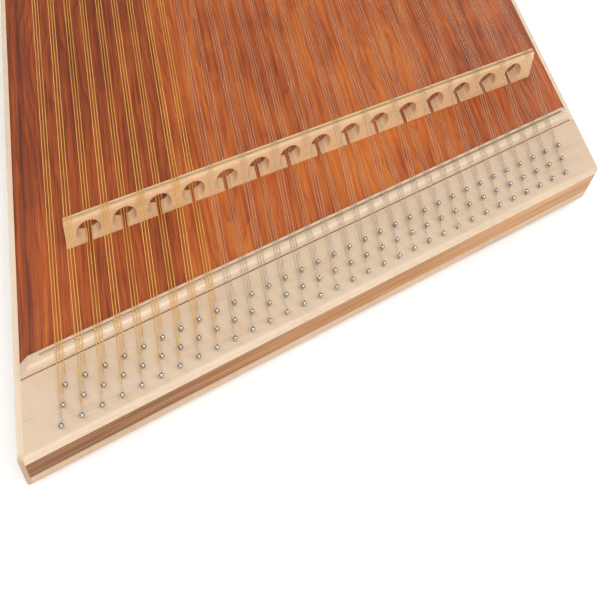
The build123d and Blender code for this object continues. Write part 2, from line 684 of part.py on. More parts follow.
ROW_NAMES = ("inner", "middle", "outer")
for course, row in TURNING_PINS:
    place = f"{course}_{ROW_NAMES[row]}"
    write(stood(tuning_pin.part, [(course, row)]), f"tuning_pin_{place}")
    write(stood(coil(course), [(course, row)]), f"string_coil_{place}")

# ---- strings ------------------------------------------------------------------------------
nut_top = NUT_ROD_Z + NUT_ROD_DIAMETER / 2 + STRING_GAP
bridge_top = Z_BRIDGE_ROD + BRIDGE_ROD_DIAMETER / 2 + STRING_GAP


def string_line(course, string):
    """A string's middle line from its hitch pin to its tuning pin, as X and Z pairs."""
    y = string_y(course, string)
    radius = string_radius(course)
    hitch_x, _ = row_point(course, string)
    tuning_x, _ = tuning_point(course, string)
    nut_x = nut_rod_x(y)
    carried = bridge_x(y) if course % 2 == 0 else -bridge_x(y)
    stop = pin_radius + 2 * radius + COIL_GAP
    coil_z = Z_TOP + COIL_LOW + COIL_TURNS * radius
    return [
        (hitch_x - shaft_radius - radius, Z_TOP + STRING_END_HEIGHT),
        (nut_x, nut_top + radius),
        (carried, bridge_top + radius),
        (-nut_x, nut_top + radius),
        (tuning_x + stop, coil_z),
    ]


def strings(courses):
    """A set of strings, each a thin bent prism in its own upright plane."""
    with BuildPart() as pieces:
        for course in courses:
            radius = string_radius(course)
            for string in range(STRINGS_PER_COURSE):
                line = string_line(course, string)
                upper = [(x, z + radius) for x, z in line]
                lower = [(x, z - radius) for x, z in reversed(line)]
                with BuildSketch(Plane.XZ.offset(-string_y(course, string))):
                    with BuildLine():
                        Polyline(*upper, *lower, close=True)
                    make_face()
                extrude(amount=radius, both=True)
    return pieces.part


write(strings(range(1, BRONZE_COURSES + 1)), "bronze_strings")
write(strings(range(BRONZE_COURSES + 1, COURSES + 1)), "steel_strings")

# ---- feet ---------------------------------------------------------------------------------
with BuildPart() as foot:
    with BuildSketch(Plane.XY):
        Circle(FOOT_DIAMETER / 2 - FOOT_TAPER)
    with BuildSketch(Plane.XY.offset(FOOT_HEIGHT)):
        Circle(FOOT_DIAMETER / 2)
    loft()
    with BuildSketch(Plane.XY):
        Circle(FOOT_SCREW_HEAD / 2)
    extrude(amount=FOOT_RECESS, mode=Mode.SUBTRACT)
    with BuildSketch(Plane.XY):
        Circle(FOOT_SCREW_DIAMETER / 2)
    extrude(amount=FOOT_HEIGHT, mode=Mode.SUBTRACT)

with BuildPart() as foot_screw:
    with BuildSketch(Plane.XY.offset(FOOT_RECESS / 2)):
        Circle(FOOT_SCREW_HEAD / 2)
    extrude(amount=FOOT_RECESS / 2)
    with BuildSketch(Plane.XY.offset(FOOT_RECESS)):
        Circle(FOOT_SCREW_DIAMETER / 2)
    extrude(amount=FOOT_SCREW_LENGTH - FOOT_RECESS)
    with BuildSketch(Plane.XY):
        Rectangle(SCREW_SLOT_LENGTH, SCREW_SLOT_WIDTH)
        Rectangle(SCREW_SLOT_WIDTH, SCREW_SLOT_LENGTH)
    extrude(amount=SCREW_SLOT_BOTTOM, mode=Mode.SUBTRACT)

with BuildPart() as rubber_feet:
    with Locations(*FEET):
        add(foot.part)
write(rubber_feet.part, "rubber_feet")

with BuildPart() as foot_screws:
    with Locations(*FEET):
        add(foot_screw.part)
write(foot_screws.part, "foot_screws")
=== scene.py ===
import math

import bpy
import bmesh
from mathutils import Matrix, Vector


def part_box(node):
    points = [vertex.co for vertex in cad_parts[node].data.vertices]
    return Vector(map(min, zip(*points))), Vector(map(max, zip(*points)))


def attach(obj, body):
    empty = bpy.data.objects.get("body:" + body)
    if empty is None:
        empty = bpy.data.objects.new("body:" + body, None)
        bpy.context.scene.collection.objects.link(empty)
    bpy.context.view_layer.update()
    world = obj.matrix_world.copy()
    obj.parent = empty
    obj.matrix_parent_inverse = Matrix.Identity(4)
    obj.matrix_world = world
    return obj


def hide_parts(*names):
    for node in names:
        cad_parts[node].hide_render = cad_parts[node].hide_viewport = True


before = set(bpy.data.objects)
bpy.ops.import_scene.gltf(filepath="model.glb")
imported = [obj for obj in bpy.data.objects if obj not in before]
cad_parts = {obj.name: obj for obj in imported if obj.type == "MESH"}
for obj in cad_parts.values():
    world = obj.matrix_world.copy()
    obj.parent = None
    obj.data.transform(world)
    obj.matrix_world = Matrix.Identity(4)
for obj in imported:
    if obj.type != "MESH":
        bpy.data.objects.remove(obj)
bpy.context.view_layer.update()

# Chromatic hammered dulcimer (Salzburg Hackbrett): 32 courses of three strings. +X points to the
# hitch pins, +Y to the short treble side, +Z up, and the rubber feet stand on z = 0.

# ---- sizes of the instrument, in metres ---------------------------------------------------
MM = 0.001
SLANT = math.radians(21.6)
TAN, COS, SIN = math.tan(SLANT), math.cos(SLANT), math.sin(SLANT)
HALF_LONG = 540 * MM
HALF_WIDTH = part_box("short_rib")[1].y
INNER_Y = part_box("short_rib")[0].y
Z_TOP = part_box("hitch_block_cap")[1].z
Z_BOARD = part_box("soundboard")[1].z
CAP_WIDTH, NUT_WIDTH = 60.5 * MM, 13.3 * MM

COURSES, BRONZE_COURSES, TURNING_COURSES = 32, 9, 4
FIRST_IN = 37.0 * MM  # from the bass face to the first course
FIRST_Y = -HALF_WIDTH + FIRST_IN
COURSE_PITCH = 15 * MM
STRING_SPACING = 2.45 * MM
HITCH_ROW = 39.45 * MM
ROW_STEP = 16.38 * MM
BRONZE_RADIUS, STEEL_RADIUS = 0.375 * MM, 0.225 * MM
STRING_END_HEIGHT = 1.8 * MM
ROW_NAMES = ("inner", "middle", "outer")

NUT_HEIGHT, NUT_FLAT, NUT_BEVEL = 7.8 * MM, 6.5 * MM, 7.0 * MM
NUT_ROD_RADIUS, NUT_ROD_DEPTH, NUT_ROD_SINK = 1.1 * MM, 69.8 * MM, 0.3 * MM
NUT_ROD_OVERRUN = 17 * MM
BRIDGE_SLANT = math.radians(18.45)
HITCH_TO_BRIDGE = 132.9 * MM
BRIDGE_X = HALF_LONG - FIRST_IN * TAN - HITCH_ROW / COS - HITCH_TO_BRIDGE
BRIDGE_HEIGHT, FRONT_FOOT, BACK_FOOT, BACK_TOP = 25.4 * MM, 9.2 * MM, 4.4 * MM, 3.3 * MM
CHAMFER_HIGH, CHAMFER_LOW, CHAMFER_DROP = 2.9 * MM, 3.9 * MM, 1.4 * MM
HOLE_RADIUS, HOLE_HEIGHT, KERF = 10.1 * MM, 11.2 * MM, 3.0 * MM
BRIDGE_ROD_RADIUS, BRIDGE_ROD_SINK = 0.9 * MM, 0.2 * MM

PIN_SHAFT, PIN_HEAD, PIN_STANDS, PIN_DEPTH = 1.1 * MM, 2.0 * MM, 6.2 * MM, 20 * MM
TUNING_RADIUS, TUNING_STANDS, TUNING_DEPTH = 2.5 * MM, 20 * MM, 24 * MM
COIL_LOW, COIL_TURNS, STRING_HOLE_Z = 2.0 * MM, 4, 6.2 * MM


def end_x(y, depth):
    """X of the line parallel to the hitch end's slanted face, depth inside it."""
    return HALF_LONG - (y + HALF_WIDTH) * TAN - depth / COS


def string_y(course, string):
    return FIRST_Y + COURSE_PITCH * (course - 1) - STRING_SPACING * string


def hitch_point(course, row):
    """X and Y of a hitch pin; each course's pins stand one behind another, a string apart."""
    return end_x(string_y(course, 0), HITCH_ROW) + ROW_STEP * row, string_y(course, row)


def wire_radius(course):
    return BRONZE_RADIUS if course <= BRONZE_COURSES else STEEL_RADIUS


def bridge_x(y):
    """X of the middle of the hitch bridge's top."""
    return BRIDGE_X - (y - FIRST_Y) * math.tan(BRIDGE_SLANT)


# ---- materials ----------------------------------------------------------------------------
def linear(*srgb):
    """An sRGB colour, 0 to 255, as linear RGBA."""
    values = [v / 255 for v in srgb]
    return (*[v / 12.92 if v <= 0.04045 else ((v + 0.055) / 1.055) ** 2.4 for v in values], 1)


class Graph:
    """A material whose nodes are added one by one; an input is a number, a tuple or a socket."""

    def __init__(self, name, **shader):
        self.material = bpy.data.materials.new(name)
        self.material.use_nodes = True
        self.tree = self.material.node_tree
        self.tree.nodes.clear()
        self.shader = self.node("BsdfPrincipled", **shader)
        output = self.tree.nodes.new("ShaderNodeOutputMaterial")
        self.tree.links.new(self.shader.outputs[0], output.inputs["Surface"])
        self.point = self.node("TexCoord").outputs["Object"]

    def feed(self, socket, value):
        if isinstance(value, bpy.types.NodeSocket):
            self.tree.links.new(value, socket)
        else:
            socket.default_value = value

    def node(self, kind, settings=None, **inputs):
        made = self.tree.nodes.new("ShaderNode" + kind)
        for key, value in (settings or {}).items():
            setattr(made, key, value)
        for key, value in inputs.items():
            self.feed(made.inputs[key.replace("_", " ")], value)
        return made

    def maths(self, operation, *values):
        made = self.node("Math", {"operation": operation})
        for socket, value in zip(made.inputs, values):
            self.feed(socket, value)
        return made.outputs[0]

    def scaled(self, vector, scale, turn=0.0, shift=(0, 0, 0)):
        turned = self.node("Mapping", Vector=vector, Rotation=(0, 0, turn)).outputs[0]
        return self.node("Mapping", Vector=turned, Scale=scale, Location=shift).outputs[0]

    def noise(self, vector, scale=1.0, detail=3.0, roughness=0.5, distortion=0.0):
        made = self.node(
            "TexNoise", Vector=vector, Scale=scale, Detail=detail, Roughness=roughness, Distortion=distortion
        )
        return made.outputs["Fac"]

    def spread(self, value, low, high, to_low=0.0, to_high=1.0):
        """value, from low to high, spread over to_low to to_high and held at both ends."""
        made = self.node("MapRange", Value=value)
        for key, number in (("From Min", low), ("From Max", high), ("To Min", to_low), ("To Max", to_high)):
            made.inputs[key].default_value = number
        return made.outputs[0]

    def ramp(self, factor, *stops, steps=False):
        made = self.node("ValToRGB", Fac=factor)
        ramp = made.color_ramp
        if steps:
            ramp.interpolation = "CONSTANT"
        while len(ramp.elements) < len(stops):
            ramp.elements.new(1.0)
        for element, (place, colour) in zip(ramp.elements, stops):
            element.position = place
            element.color = colour
        return made.outputs["Color"]

    def mix(self, factor, a, b, blend="MIX"):
        made = self.node("Mix", {"data_type": "RGBA", "blend_type": blend})
        for socket, value in ((0, factor), (6, a), (7, b)):  # 6 and 7 are the colours A and B
            self.feed(made.inputs[socket], value)
        return made.outputs[2]

    def finish(self, colour=None, roughness=None, height=None, bump=0.2, depth=0.2 * MM):
        if colour is not None:
            self.feed(self.shader.inputs["Base Color"], colour)
        if roughness is not None:
            self.feed(self.shader.inputs["Roughness"], roughness)
        if height is not None:
            relief = self.node("Bump", Height=height, Strength=bump, Distance=depth).outputs[0]
            self.feed(self.shader.inputs["Normal"], relief)
        return self.material


def grey(value):
    return (value, value, value, 1)


def pale_wood(
    name, light, middle, dark, turn=0.0, rings=2.6 * MM, contrast=1.0, shine=0.34, seed=0.0, end=None
):
    """Maple and its like: fine straight fibres along X after the turn, faint rings and a soft mottle.

    A wood with an end is painted darker towards its ends, that far from the middle along X: painted shade on
    the end faces, where its fibres end.
    """
    g = Graph(name, Coat_Weight=0.06, Coat_Roughness=0.25, IOR=1.5)
    point = g.scaled(g.point, (1, 1, 1), turn, (seed, seed * 1.7, seed * 0.6))
    fibre = g.noise(g.scaled(point, (14, 900, 450)), detail=5, roughness=0.62)
    sweep = g.noise(g.scaled(point, (5, 45, 22.5)), detail=2)
    across = g.node("SeparateXYZ", Vector=point).outputs[1]
    place = g.maths("ADD", g.maths("MULTIPLY", sweep, 12 * MM), across)
    ring = g.maths("FRACT", g.maths("DIVIDE", place, rings))
    ring = g.maths("POWER", ring, 2.5)
    mottle = g.noise(g.scaled(point, (9, 60, 40)), detail=3, roughness=0.6)
    curl = g.noise(g.scaled(point, (150, 22, 22)), detail=2, distortion=0.4)
    tone = g.maths("ADD", g.maths("MULTIPLY", fibre, 0.42), g.maths("MULTIPLY", mottle, 0.40))
    tone = g.maths("ADD", tone, g.maths("MULTIPLY", curl, 0.18))
    tone = g.maths("ADD", tone, g.maths("MULTIPLY", ring, 0.07))
    tone = g.spread(tone, 0.5 - 0.26 / contrast, 0.53 + 0.26 / contrast)
    colour = g.ramp(tone, (0.0, light), (0.5, middle), (1.0, dark))
    fleck = g.noise(g.scaled(point, (40, 520, 520)), detail=2)
    colour = g.mix(g.spread(fleck, 0.66, 0.78, 0.0, 0.35), colour, dark)
    # painted shade at both ends along X, on the end faces that turn away from the light
    if end:
        reach = g.maths("ABSOLUTE", g.node("SeparateXYZ", Vector=g.point).outputs[0])
        colour = g.mix(g.spread(reach, end - 9 * MM, end - 2 * MM, 0.0, 0.8), colour, linear(166, 126, 90))
    rough = g.spread(fibre, 0.3, 0.7, shine, shine + 0.16)
    return g.finish(colour, rough, fibre, 0.10, 0.12 * MM)


BOARD_EDGES = (0.0, 0.262, 0.515, 0.77)  # where the soundboard's four boards start, of its width
RING_SPACING = 5.4 * MM
# where the painted shadow line beside the bass wall runs
SHADOW_LINE_Y, SHADOW_LINE_SLOPE = -251.2 * MM, -0.006


def cherry(name):
    """The soundboard: four boards with their own rings, fine fibres, gum flecks and a painted shadow line
    beside the bass wall.
    """
    g = Graph(name, Coat_Weight=0.05, Coat_Roughness=0.25, IOR=1.5)
    x, y, _ = g.node("SeparateXYZ", Vector=g.point).outputs
    board = g.maths("DIVIDE", g.maths("ADD", y, HALF_WIDTH), 2 * HALF_WIDTH)

    def per_board(*values):
        return g.ramp(board, *[(edge, grey(value)) for edge, value in zip(BOARD_EDGES, values)], steps=True)

    # the growth rings round each board's own centre
    centre = per_board(0.0, 0.62, 0.83, 0.35)
    tint = per_board(0.62, 0.42, 0.36, 0.5)
    centre_y = g.spread(centre, 0.0, 1.0, -0.62, 0.25)
    warp = g.noise(g.scaled(g.point, (3.2, 16, 1)), detail=3, roughness=0.55)
    warp = g.maths("MULTIPLY", g.maths("SUBTRACT", warp, 0.5), 0.05)
    off = g.maths("ADD", g.maths("SUBTRACT", y, centre_y), warp)
    lean = g.maths("MULTIPLY", g.maths("ADD", x, -0.12), 0.085)
    radius = g.maths("SQRT", g.maths("ADD", g.maths("MULTIPLY", off, off), g.maths("MULTIPLY", lean, lean)))
    wobble = g.noise(g.scaled(g.point, (14, 50, 1)), detail=4, roughness=0.6)
    swirl = g.spread(y, -0.16, -0.02, 0.25, 1.5)
    spacing = g.maths("ADD", g.maths("DIVIDE", radius, RING_SPACING), g.maths("MULTIPLY", wobble, swirl))
    ring = g.maths("POWER", g.maths("FRACT", spacing), 2.6)
    # the tone: fibres, figure, clouds and rings, each board with its own tint
    fibre = g.noise(g.scaled(g.point, (9, 620, 620)), detail=5, roughness=0.72)
    pore = g.noise(g.scaled(g.point, (60, 1500, 400)), detail=2, roughness=0.6)
    glow = g.noise(g.scaled(g.point, (16, 34, 1)), detail=3, roughness=0.6, distortion=0.5)
    cloud = g.noise(g.scaled(g.point, (5, 22, 1), 0.05), detail=3, roughness=0.6)
    figure = g.maths("MULTIPLY", glow, g.spread(y, -0.2, -0.08, 0.12, 0.26))
    figure = g.maths("ADD", figure, g.spread(y, -0.2, -0.08, 0.055, -0.03))
    tone = g.maths("ADD", g.maths("MULTIPLY", fibre, 0.44), figure)
    tone = g.maths("ADD", tone, g.maths("MULTIPLY", cloud, 0.18))
    tone = g.maths("ADD", tone, g.maths("MULTIPLY", ring, 0.07))
    tone = g.maths("ADD", tone, g.maths("MULTIPLY", g.maths("SUBTRACT", tint, 0.44), 0.36))
    tone = g.maths("ADD", tone, g.spread(x, 0.15, 0.4, 0.095, 0.045))
    tone = g.spread(tone, 0.32, 0.65)
    colour = g.ramp(
        tone,
        (0.0, linear(222, 136, 64)),
        (0.35, linear(200, 111, 48)),
        (0.62, linear(174, 85, 36)),
        (1.0, linear(116, 50, 25)),
    )
    # a painted shadow line beside the bass wall with painted shade around it, then gum flecks and pores
    dark = linear(70, 32, 18)
    shadow_line_y = g.maths("ADD", SHADOW_LINE_Y, g.maths("MULTIPLY", x, SHADOW_LINE_SLOPE))
    drift = g.noise(g.scaled(g.point, (6, 1, 1)), detail=1)
    wander = g.maths("MULTIPLY", g.maths("SUBTRACT", drift, 0.5), 4 * MM)
    gap = g.maths("ABSOLUTE", g.maths("SUBTRACT", g.maths("ADD", y, wander), shadow_line_y))
    line = g.spread(gap, 0.0, 2.2 * MM, 1.0, 0.0)
    broken = g.spread(g.noise(g.scaled(g.point, (14, 1, 1)), detail=2), 0.38, 0.62, 0.3, 0.95)
    colour = g.mix(g.maths("MULTIPLY", line, broken), colour, dark)
    # painted shade fading out over 12 mm on either side of the line
    shade = g.spread(gap, 0.0, 12 * MM, 0.28, 0.0)
    colour = g.mix(shade, colour, linear(112, 54, 32))
    gum = g.noise(g.scaled(g.point, (22, 240, 1), 0.0, (3, 1, 0)), detail=2)
    colour = g.mix(g.spread(gum, 0.69, 0.78, 0.0, 0.75), colour, dark)
    colour = g.mix(g.spread(pore, 0.60, 0.75, 0.0, 0.18), colour, dark)
    rough = g.spread(fibre, 0.3, 0.7, 0.34, 0.5)
    return g.finish(colour, rough, fibre, 0.12, 0.12 * MM)


LAYER_HEIGHT = 4.8 * MM


def laminated(name, turn):
    """The pin block's core: beech layers seen on edge, as bands one above another."""
    g = Graph(name, Coat_Weight=0.04, Coat_Roughness=0.3, IOR=1.38)
    point = g.scaled(g.point, (1, 1, 1), turn)
    z = g.node("SeparateXYZ", Vector=g.point).outputs[2]
    drift = g.maths("MULTIPLY", g.noise(g.scaled(point, (4, 8, 60)), detail=2), 4 * MM)
    layer = g.maths("DIVIDE", g.maths("ADD", z, drift), LAYER_HEIGHT)
    edge = g.maths("POWER", g.maths("ABSOLUTE", g.maths("SUBTRACT", g.maths("FRACT", layer), 0.5)), 3)
    own = g.noise(g.scaled(point, (7, 12, 190)), detail=3, roughness=0.55)
    fibre = g.noise(g.scaled(point, (16, 500, 1000)), detail=5, roughness=0.65)
    tone = g.maths("ADD", g.maths("MULTIPLY", own, 0.46), g.maths("MULTIPLY", fibre, 0.32))
    tone = g.maths("ADD", tone, g.maths("MULTIPLY", edge, 0.9))
    # painted shade: the core is darker towards its bass end (-Y) and lighter towards the treble end
    along = g.node("SeparateXYZ", Vector=g.point).outputs[1]
    tone = g.maths("ADD", tone, g.spread(along, -0.27, 0.2, 0.21, -0.08))
    tone = g.spread(tone, 0.2, 0.66)
    colour = g.ramp(
        tone,
        (0.0, linear(208, 161, 117)),
        (0.45, linear(180, 126, 74)),
        (0.75, linear(148, 95, 46)),
        (1.0, linear(108, 63, 26)),
    )
    rough = g.spread(fibre, 0.3, 0.7, 0.42, 0.58)
    return g.finish(colour, rough, fibre, 0.14, 0.15 * MM)


def metal(name, colour, worn, low, high, grain=(300, 300, 300), bump=0.05, wear=0.5):
    """A metal with its own roughness range, a soft tarnish and fine drawing or polishing marks."""
    g = Graph(name, Metallic=1.0)
    marks = g.noise(g.scaled(g.point, grain), detail=4, roughness=0.6)
    haze = g.noise(g.scaled(g.point, (70, 70, 70)), detail=3)
    body = g.mix(g.spread(haze, 0.4, 0.75, 0.0, wear), colour, worn)
    rough = g.maths("ADD", g.spread(marks, 0.3, 0.7, low, high), g.spread(haze, 0.4, 0.8, 0.0, 0.08))
    return g.finish(body, rough, marks, bump, 0.03 * MM)


def rubber():
    """Matt black rubber with a fine grain and some dust."""
    g = Graph("rubber_matt", IOR=1.45)
    grain = g.noise(g.scaled(g.point, (900, 900, 900)), detail=3)
    dust = g.noise(g.scaled(g.point, (60, 60, 60)), detail=4)
    colour = g.mix(g.spread(dust, 0.45, 0.8, 0.0, 0.5), linear(34, 33, 32), linear(74, 71, 67))
    return g.finish(colour, g.spread(grain, 0.3, 0.7, 0.7, 0.9), grain, 0.3, 0.1 * MM)


MAPLE_LIGHT, MAPLE_MID, MAPLE_DARK = linear(221, 200, 175), linear(212, 187, 160), linear(193, 160, 129)
ALONG_HITCH = math.pi / 2 + SLANT
GRAIN_OFF = math.radians(9)


def maple(name, turn, **more):
    return pale_wood(name, MAPLE_LIGHT, MAPLE_MID, MAPLE_DARK, turn, **more)


RIB_TONES = (linear(232, 213, 190), linear(223, 200, 173), linear(202, 171, 139))
# the rib's ends carry painted shade
maple_rib = pale_wood("maple_rib", *RIB_TONES, shine=0.36, seed=2.3, end=HALF_LONG)
hitch_cap_wood = maple("maple_hitch_cap", -(ALONG_HITCH - GRAIN_OFF), contrast=0.8)
tuning_cap_wood = maple("maple_tuning_cap", ALONG_HITCH - GRAIN_OFF, contrast=0.8, seed=4.1)
hitch_nut_wood = maple("maple_hitch_nut", -ALONG_HITCH, shine=0.17, seed=1.1)
tuning_nut_wood = maple("maple_tuning_nut", ALONG_HITCH, shine=0.17, seed=5.2)
# the nut's joint groove: a glue line, darkened further by painted shade in the narrow gap
JOINT_GLUE_SHADE_TONES = (linear(176, 130, 94), linear(156, 110, 76), linear(124, 82, 54))
joint_glue_and_shade = pale_wood("joint_glue_and_shade", *JOINT_GLUE_SHADE_TONES, 0.3, shine=0.5)
# painted shade for the walls of the bridges' saw kerfs
KERF_SHADE_TONES = (linear(112, 74, 48), linear(88, 56, 36), linear(52, 32, 20))
kerf_shade_wood = pale_wood("kerf_painted_shade", *KERF_SHADE_TONES, 0.3, shine=0.55)
BRIDGE_TURN = math.pi / 2 + BRIDGE_SLANT
BRIDGE_TONES = (linear(230, 196, 154), linear(222, 183, 139), linear(196, 151, 107))
hitch_bridge_wood = pale_wood("maple_hitch_bridge", *BRIDGE_TONES, -BRIDGE_TURN, seed=3.3)
tuning_bridge_wood = pale_wood("maple_tuning_bridge", *BRIDGE_TONES, BRIDGE_TURN, seed=6.4)
BASE_TONES = (linear(206, 177, 147), linear(195, 163, 131), linear(164, 128, 95))
hitch_base_wood = pale_wood("maple_hitch_base", *BASE_TONES, -ALONG_HITCH, contrast=1.3, seed=7.0)
tuning_base_wood = pale_wood("maple_tuning_base", *BASE_TONES, ALONG_HITCH, contrast=1.3, seed=8.0)
hitch_core_wood = laminated("beech_hitch_core", -ALONG_HITCH)
tuning_core_wood = laminated("beech_tuning_core", ALONG_HITCH)
cherry_wood = cherry("cherry_soundboard")
SPRUCE_TONES = (linear(238, 210, 168), linear(224, 190, 145), linear(186, 140, 92))
SPRUCE_GRAIN = {"rings": 1.8 * MM, "contrast": 1.4, "shine": 0.5}
spruce_wood = pale_wood("spruce_inside", *SPRUCE_TONES, **SPRUCE_GRAIN)
spruce_bar_wood = pale_wood("spruce_bars", *SPRUCE_TONES, math.pi / 2, **SPRUCE_GRAIN)
BACK_TONES = (linear(232, 202, 165), linear(214, 180, 140), linear(172, 130, 90))
back_wood = pale_wood("back_board", *BACK_TONES, rings=3.4 * MM, contrast=1.3)
WALNUT_TONES = (linear(126, 84, 56), linear(98, 62, 40), linear(56, 34, 22))
walnut_wood = pale_wood("walnut_trim", *WALNUT_TONES, 0.4, contrast=1.3, shine=0.36)
nickel = metal("nickel_pin", linear(188, 183, 175), linear(152, 147, 140), 0.03, 0.06)
rod_steel = metal("steel_rod", linear(190, 162, 126), linear(138, 114, 86), 0.3, 0.42, (900, 900, 900))
DRAWN = (120, 900, 900)
bronze = metal("bronze_wire", linear(246, 200, 112), linear(224, 168, 84), 0.42, 0.54, DRAWN, wear=0.6)
string_steel = metal("steel_wire", linear(206, 188, 164), linear(166, 146, 124), 0.38, 0.5, DRAWN)
core_steel = metal("core_wire", linear(222, 214, 202), linear(190, 180, 166), 0.36, 0.48, DRAWN)
FILED = (500, 500, 1600)
tuning_nickel = metal("tuning_pin_steel", linear(190, 188, 184), linear(132, 128, 122), 0.16, 0.3, FILED)
screw_metal = metal("screw_steel", linear(150, 148, 144), linear(110, 106, 100), 0.3, 0.45)
rubber_matt = rubber()


# ---- mesh helpers -------------------------------------------------------------------------
def piece(name, points, faces, material, body, slot, nodes=(), smooth=True, sharp=0.6):
    """A mesh object that rides on a body and stands for CAD nodes."""
    mesh = bpy.data.meshes.new(name)
    mesh.from_pydata([tuple(p) for p in points], [], faces)
    mesh.validate()
    work = bmesh.new()
    work.from_mesh(mesh)
    bmesh.ops.recalc_face_normals(work, faces=work.faces)
    work.to_mesh(mesh)
    work.free()
    mesh.materials.append(material)
    if smooth:
        mesh.polygons.foreach_set("use_smooth", [True] * len(mesh.polygons))
        mesh.set_sharp_from_angle(angle=sharp)
    made = bpy.data.objects.new(name, mesh)
    bpy.context.scene.collection.objects.link(made)
    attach(made, body)
    if nodes:
        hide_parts(*nodes)
    return made


def soften(made, width, segments=3, limit=0.6):
    """Eases the edges that are sharper than limit."""
    bevel = made.modifiers.new("edges", "BEVEL")
    bevel.width = width
    bevel.segments = segments
    bevel.limit_method = "ANGLE"
    bevel.angle_limit = limit
    bevel.harden_normals = True
    return made


def joined(parts):
    """One list of points and faces out of several."""
    points, faces = [], []
    for some_points, some_faces in parts:
        start = len(points)
        points += some_points
        faces += [tuple(start + i for i in face) for face in some_faces]
    return points, faces


def moved(part, offset):
    """A list of points and faces, shifted."""
    shift = Vector(offset)
    return [p + shift for p in part[0]], part[1]


def mirror_x(part):
    """A list of points and faces, mirrored to the other end of the instrument."""
    return [Vector((-p.x, p.y, p.z)) for p in part[0]], [tuple(reversed(face)) for face in part[1]]


def tube(path, radius, sides=6):
    """A round wire along a path of points, closed at both ends."""
    path = [Vector(p) for p in path]
    points, faces = [], []
    normal = None
    for i, here in enumerate(path):
        before, after = path[max(i - 1, 0)], path[min(i + 1, len(path) - 1)]
        tangent = (after - before).normalized()
        if normal is None:
            normal = tangent.orthogonal().normalized()
        normal = (normal - tangent * normal.dot(tangent)).normalized()
        side = tangent.cross(normal)
        for k in range(sides):
            a = 2 * math.pi * k / sides
            points.append(here + (normal * math.cos(a) + side * math.sin(a)) * radius)
    for i in range(len(path) - 1):
        for k in range(sides):
            a, b = i * sides + k, i * sides + (k + 1) % sides
            faces.append((a, b, b + sides, a + sides))
    faces.append(tuple(reversed(range(sides))))
    faces.append(tuple(len(points) - sides + k for k in range(sides)))
    return points, faces


def lathe(profile, sides):
    """A solid turned round Z from (radius, z) pairs that run up from its bottom point to its top one."""
    points = [Vector((0, 0, profile[0][1]))]
    for radius, z in profile[1:-1]:
        for k in range(sides):
            a = 2 * math.pi * k / sides
            points.append(Vector((radius * math.cos(a), radius * math.sin(a), z)))
    points.append(Vector((0, 0, profile[-1][1])))
    faces = [(0, 1 + (k + 1) % sides, 1 + k) for k in range(sides)]
    for i in range(len(profile) - 3):
        low = 1 + i * sides
        for k in range(sides):
            a, b = low + k, low + (k + 1) % sides
            faces.append((a, b, b + sides, a + sides))
    top = len(points) - 1
    last = top - sides
    faces += [(last + k, last + (k + 1) % sides, top) for k in range(sides)]
    return points, faces


def swept(profile, start, direction, across, length, cuts):
    """A closed profile of (across, height) pairs swept along direction and cut by planes (point, normal)."""
    work = bmesh.new()
    ends = []
    for reach in (0, length):
        corner = start + direction * reach
        ends.append([work.verts.new(corner + across * u + Vector((0, 0, w))) for u, w in profile])
    count = len(profile)
    for k in range(count):
        work.faces.new((ends[0][k], ends[0][(k + 1) % count], ends[1][(k + 1) % count], ends[1][k]))
    work.faces.new(list(reversed(ends[0])))
    work.faces.new(ends[1])
    for point, normal in cuts:
        geometry = list(work.verts) + list(work.edges) + list(work.faces)
        cut = bmesh.ops.bisect_plane(work, geom=geometry, plane_co=point, plane_no=normal, clear_outer=True)
        rim = [e for e in cut["geom_cut"] if isinstance(e, bmesh.types.BMEdge)]
        bmesh.ops.contextual_create(work, geom=rim)
    work.verts.index_update()
    part = [v.co.copy() for v in work.verts], [tuple(v.index for v in f.verts) for f in work.faces]
    work.free()
    return part


# ---- CAD pieces that keep their shape -----------------------------------------------------
KEPT = {
    "long_rib": maple_rib,
    "short_rib": maple_rib,
    "hitch_block_cap": hitch_cap_wood,
    "tuning_block_cap": tuning_cap_wood,
    "hitch_block_core": hitch_core_wood,
    "tuning_block_core": tuning_core_wood,
    "hitch_block_base": hitch_base_wood,
    "tuning_block_base": tuning_base_wood,
    "back_plate": back_wood,
    "soundboard": cherry_wood,
    "long_top_lining": spruce_wood,
    "short_top_lining": spruce_wood,
    "long_back_lining": spruce_wood,
    "short_back_lining": spruce_wood,
    "soundboard_bars": spruce_bar_wood,
    "back_bars": spruce_bar_wood,
    "rosette": walnut_wood,
    "rosette_ring": walnut_wood,
    "rubber_feet": rubber_matt,
    "foot_screws": screw_metal,
}
EASED = {
    "long_rib": 0.45 * MM,
    "short_rib": 0.45 * MM,
    "back_plate": 0.25 * MM,
    "rosette": 0.25 * MM,
    "rubber_feet": 0.5 * MM,
    "foot_screws": 0.15 * MM,
}
for node, material in KEPT.items():
    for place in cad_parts[node].material_slots:
        place.material = material
    if node in EASED:
        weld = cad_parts[node].modifiers.new("weld", "WELD")
        weld.merge_threshold = 0.001 * MM
        soften(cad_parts[node], EASED[node])

